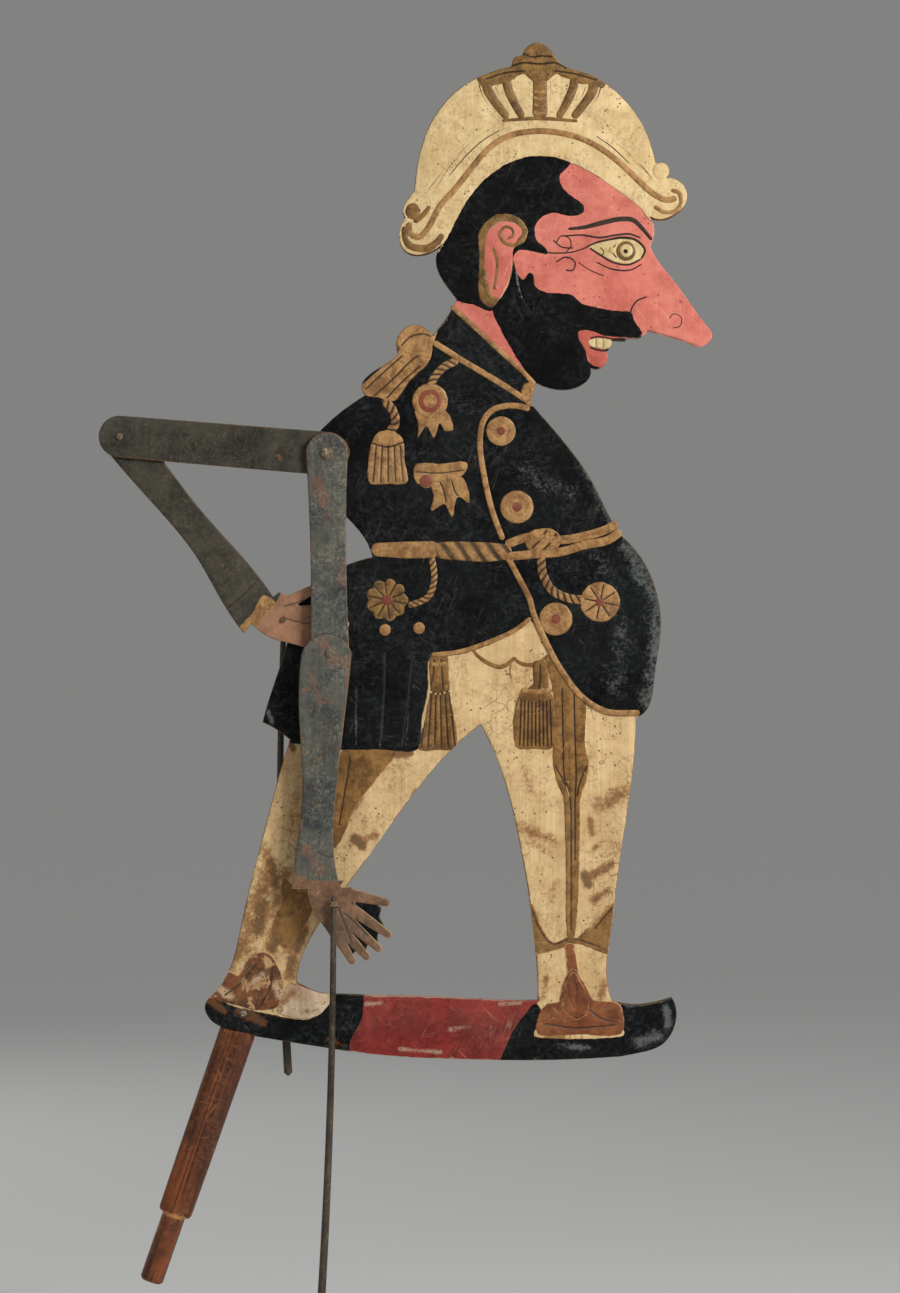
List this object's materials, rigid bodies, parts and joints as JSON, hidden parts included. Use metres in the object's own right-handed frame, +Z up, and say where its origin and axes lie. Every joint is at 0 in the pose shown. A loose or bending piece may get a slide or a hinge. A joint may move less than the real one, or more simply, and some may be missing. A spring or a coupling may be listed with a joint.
{
  "type": "flat wooden rod puppet",
  "caption": "Flat carved and painted wooden rod puppet in profile, with jointed leather arms, two control rods and a slanted grip.",
  "frame": {"origin": "on the grip's axis, at the shoulder where its round spigot begins and rests on the rim of its hole", "axes": "+Z up the standing figure, +X the way the figure faces, +Y from the arms' side to the back"},
  "size_m": [0.3373, 0.0391, 0.7254],
  "materials": {
    "painted_board": "carved, painted and worn",
    "grip_wood": "bare, handled and darkened",
    "peg_wood": "bare",
    "washer_leather": "bare",
    "arm_leather": "painted, worn at the edges",
    "rod_horn": "dark and smooth",
    "thread": "twisted"
  },
  "bodies": {
    "puppet": {"body_board": "painted_board", "grip": "grip_wood", "grip_peg": "peg_wood", "shoulder_peg": "peg_wood", "shoulder_spacer": "washer_leather", "shoulder_washer": "washer_leather"},
    "near_upper": {"near_upper_arm": "arm_leather", "near_elbow_peg": "peg_wood"},
    "near_lower": {"near_forearm": "arm_leather"},
    "near_control": {"near_rod": "rod_horn", "near_rod_tie": "thread"},
    "far_upper": {"far_upper_arm": "arm_leather", "far_elbow_peg": "peg_wood"},
    "far_lower": {"far_forearm": "arm_leather"},
    "far_control": {"far_rod": "rod_horn", "far_rod_tie": "thread"}
  },
  "joints": [
    {"name": "near_shoulder", "type": "hinge", "parent": "puppet", "child": "near_upper", "pos_m": [0.08447, -0.0155, 0.41897], "axis": [0, 1, 0], "range_deg": [-170, 170]},
    {"name": "near_elbow", "type": "hinge", "parent": "near_upper", "child": "near_lower", "pos_m": [0.08619, -0.017, 0.30948], "axis": [0, 1, 0], "range_deg": [-145, 145]},
    {"name": "near_rod_swing", "type": "hinge", "parent": "near_lower", "child": "near_control", "pos_m": [0.08835, -0.0194, 0.172], "axis": [0, 1, 0], "range_deg": [-110, 110]},
    {"name": "far_shoulder", "type": "hinge", "parent": "puppet", "child": "far_upper", "pos_m": [0.08447, -0.0115, 0.41897], "axis": [0, 1, 0], "range_deg": [0, 90]},
    {"name": "far_elbow", "type": "hinge", "parent": "far_upper", "child": "far_lower", "pos_m": [-0.02934, -0.0102, 0.42837], "axis": [0, 1, 0], "range_deg": [0, 130]},
    {"name": "far_rod_swing", "type": "hinge", "parent": "far_lower", "child": "far_control", "pos_m": [0.06027, -0.0078, 0.32766], "axis": [0, 1, 0], "range_deg": [-110, 110]}
  ]
}
